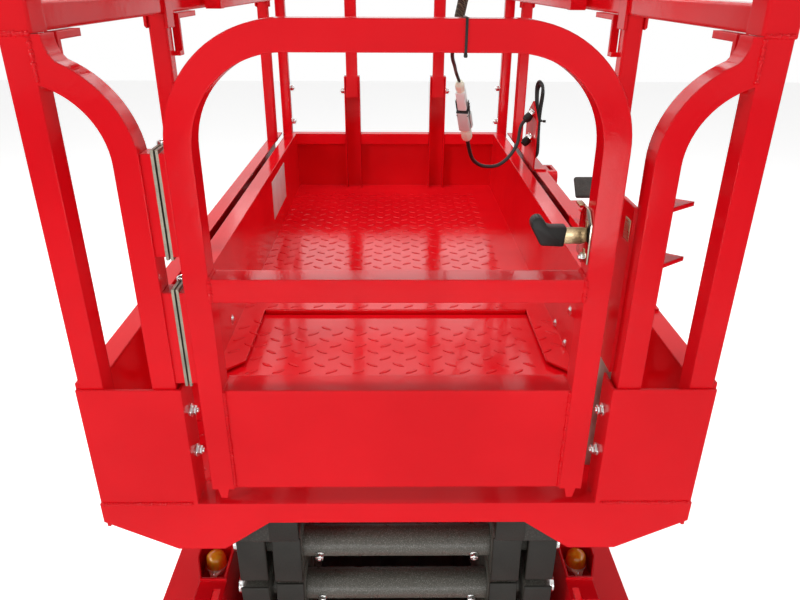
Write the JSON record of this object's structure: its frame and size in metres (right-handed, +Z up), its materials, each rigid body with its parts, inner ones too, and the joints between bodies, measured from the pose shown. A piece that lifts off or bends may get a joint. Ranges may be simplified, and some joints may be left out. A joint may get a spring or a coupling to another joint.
{
  "type": "compact electric scissor lift",
  "caption": "Narrow electric slab scissor lift, stowed, with a sliding platform extension, swing gate, guard rails, steered front wheels and a stacked scissor mast.",
  "frame": {"origin": "on the ground, below the middle of the machine", "axes": "+Y forward, entry gate at -Y, +X to the right of a person facing forward, +Z up"},
  "size_m": [0.81, 1.62, 1.84],
  "materials": {
    "red_paint": "glossy red powder coat",
    "arm_paint": "charcoal textured paint",
    "zinc": "zinc plated",
    "chrome_rod": "polished",
    "black_plastic": "moulded, fine grain",
    "beacon_amber": "clear amber",
    "tyre_rubber": "non-marking grey rubber",
    "rim_paint": "painted",
    "cord_rubber": "matt sheath",
    "connector_grey": "moulded",
    "battery_grey": "moulded",
    "holder_beige": "moulded"
  },
  "bodies": {
    "chassis": {"chassis_frame": "red_paint", "front_cover": "red_paint", "rear_ladder_cover": "red_paint", "rear_axle": "arm_paint", "beacons": "beacon_amber", "steering_cylinder": "arm_paint", "tie_down_eyes": "red_paint"},
    "steering_rod": {"steering_rod": "chrome_rod"},
    "knuckle_left": {"steering_knuckle_left": "arm_paint"},
    "knuckle_right": {"steering_knuckle_right": "arm_paint"},
    "wheel_front_left": {"front_left_tyre": "tyre_rubber", "front_left_rim": "rim_paint"},
    "wheel_front_right": {"front_right_tyre": "tyre_rubber", "front_right_rim": "rim_paint"},
    "wheel_rear_left": {"rear_left_tyre": "tyre_rubber", "rear_left_rim": "rim_paint"},
    "wheel_rear_right": {"rear_right_tyre": "tyre_rubber", "rear_right_rim": "rim_paint"},
    "battery_drawer": {"battery_tray": "red_paint", "batteries": "battery_grey"},
    "hydraulic_drawer": {"hydraulic_tray": "red_paint", "hydraulic_power_unit": "arm_paint"},
    "guard_left": {"pothole_guard_left": "red_paint"},
    "guard_right": {"pothole_guard_right": "red_paint"},
    "outer_1": {"outer_arms_1": "arm_paint"},
    "inner_1": {"inner_arms_1": "arm_paint", "cross_tubes_1": "arm_paint", "lower_rollers": "black_plastic"},
    "outer_2": {"outer_arms_2": "arm_paint"},
    "inner_2": {"inner_arms_2": "arm_paint", "cross_tubes_2": "arm_paint"},
    "outer_3": {"outer_arms_3": "arm_paint", "upper_rollers": "black_plastic"},
    "inner_3": {"inner_arms_3": "arm_paint", "cross_tubes_3": "arm_paint"},
    "lift_barrel": {"lift_cylinder_barrel": "arm_paint"},
    "lift_rod": {"lift_cylinder_rod": "chrome_rod"},
    "platform": {"platform_deck": "red_paint", "platform_brackets": "arm_paint", "gate_frames": "red_paint", "side_rails": "red_paint", "upper_guard_rails": "red_paint", "frame_hinges": "zinc", "platform_controls": "black_plastic", "control_cord": "cord_rubber", "cord_connector": "connector_grey", "supply_cord": "cord_rubber", "receptacle_bracket": "red_paint", "receptacles": "black_plastic", "spare_cable_coil": "cord_rubber", "storage_boxes": "red_paint", "document_holder": "holder_beige", "hand_pad": "black_plastic"},
    "extension": {"extension_deck": "red_paint", "extension_rails": "red_paint"},
    "gate": {"gate": "red_paint", "gate_hinges": "zinc", "gate_latch": "zinc"}
  },
  "joints": [
    {"name": "lift", "type": "hinge", "parent": "chassis", "child": "outer_1", "pos_m": [0, -0.684, 0.367], "axis": [1, 0, 0], "range_deg": [0, 56]},
    {"name": "fold_inner_1", "type": "hinge", "parent": "outer_1", "child": "inner_1", "pos_m": [0, -0.0053, 0.409], "axis": [1, 0, 0], "range_deg": [-112.5, 0]},
    {"name": "fold_outer_2", "type": "hinge", "parent": "inner_1", "child": "outer_2", "pos_m": [0, -0.684, 0.451], "axis": [1, 0, 0], "range_deg": [0, 112.5]},
    {"name": "fold_inner_2", "type": "hinge", "parent": "outer_2", "child": "inner_2", "pos_m": [0, -0.0053, 0.493], "axis": [1, 0, 0], "range_deg": [-112.5, 0]},
    {"name": "fold_outer_3", "type": "hinge", "parent": "inner_2", "child": "outer_3", "pos_m": [0, -0.684, 0.535], "axis": [1, 0, 0], "range_deg": [0, 112.5]},
    {"name": "fold_inner_3", "type": "hinge", "parent": "outer_3", "child": "inner_3", "pos_m": [0, -0.0053, 0.577], "axis": [1, 0, 0], "range_deg": [-112.5, 0]},
    {"name": "platform_level", "type": "hinge", "parent": "inner_3", "child": "platform", "pos_m": [0, -0.684, 0.619], "axis": [1, 0, 0], "range_deg": [0, 56.5]},
    {"name": "cylinder_swing", "type": "hinge", "parent": "inner_1", "child": "lift_barrel", "pos_m": [0, -0.45444, 0.43679], "axis": [1, 0, 0], "range_deg": [0, 123.15]},
    {"name": "cylinder_stroke", "type": "slide", "parent": "lift_barrel", "child": "lift_rod", "axis": [0, 0.9923, 0.1242], "range_m": [0, 0.7305]},
    {"name": "steer_left", "type": "hinge", "parent": "chassis", "child": "knuckle_left", "pos_m": [-0.262, 0.56, 0.127], "axis": [0, 0, 1], "range_deg": [-60, 60]},
    {"name": "steer_right", "type": "hinge", "parent": "chassis", "child": "knuckle_right", "pos_m": [0.262, 0.56, 0.127], "axis": [0, 0, 1], "range_deg": [-60, 60]},
    {"name": "steering_stroke", "type": "slide", "parent": "chassis", "child": "steering_rod", "axis": [1, 0, 0], "range_m": [-0.065, 0.065]},
    {"name": "roll_front_left", "type": "hinge", "parent": "knuckle_left", "child": "wheel_front_left", "pos_m": [-0.352, 0.56, 0.127], "axis": [1, 0, 0], "continuous": true},
    {"name": "roll_rear_left", "type": "hinge", "parent": "chassis", "child": "wheel_rear_left", "pos_m": [-0.352, -0.56, 0.127], "axis": [1, 0, 0], "continuous": true},
    {"name": "roll_front_right", "type": "hinge", "parent": "knuckle_right", "child": "wheel_front_right", "pos_m": [0.352, 0.56, 0.127], "axis": [1, 0, 0], "continuous": true},
    {"name": "roll_rear_right", "type": "hinge", "parent": "chassis", "child": "wheel_rear_right", "pos_m": [0.352, -0.56, 0.127], "axis": [1, 0, 0], "continuous": true},
    {"name": "battery_drawer_swing", "type": "hinge", "parent": "chassis", "child": "battery_drawer", "pos_m": [-0.393, 0.368, 0.2], "axis": [0, 0, 1], "range_deg": [-85, 0]},
    {"name": "hydraulic_drawer_swing", "type": "hinge", "parent": "chassis", "child": "hydraulic_drawer", "pos_m": [0.393, 0.368, 0.2], "axis": [0, 0, 1], "range_deg": [0, 85]},
    {"name": "guard_left_drop", "type": "hinge", "parent": "chassis", "child": "guard_left", "pos_m": [-0.24, 0, 0.2756], "axis": [0, 1, 0], "range_deg": [0, 88]},
    {"name": "guard_right_drop", "type": "hinge", "parent": "chassis", "child": "guard_right", "pos_m": [0.24, 0, 0.2756], "axis": [0, 1, 0], "range_deg": [-88, 0]},
    {"name": "extension_slide", "type": "slide", "parent": "platform", "child": "extension", "axis": [0, 1, 0], "range_m": [0, 0.6]},
    {"name": "gate_swing", "type": "hinge", "parent": "platform", "child": "gate", "pos_m": [-0.247, -0.704, 1], "axis": [0, 0, 1], "range_deg": [0, 90]}
  ],
  "couplings": [
    {"joint": "fold_inner_1", "follows": "lift", "ratio": -2},
    {"joint": "fold_outer_2", "follows": "lift", "ratio": 2},
    {"joint": "fold_inner_2", "follows": "lift", "ratio": -2},
    {"joint": "fold_outer_3", "follows": "lift", "ratio": 2},
    {"joint": "fold_inner_3", "follows": "lift", "ratio": -2},
    {"joint": "platform_level", "follows": "lift", "ratio": 1},
    {"joint": "cylinder_swing", "follows": "lift", "ratio": 2.1902},
    {"joint": "cylinder_stroke", "follows": "lift", "m_per_rad": 0.74539},
    {"joint": "steer_right", "follows": "steer_left", "ratio": 1},
    {"joint": "steering_stroke", "follows": "steer_left", "m_per_rad": 0.06}
  ]
}
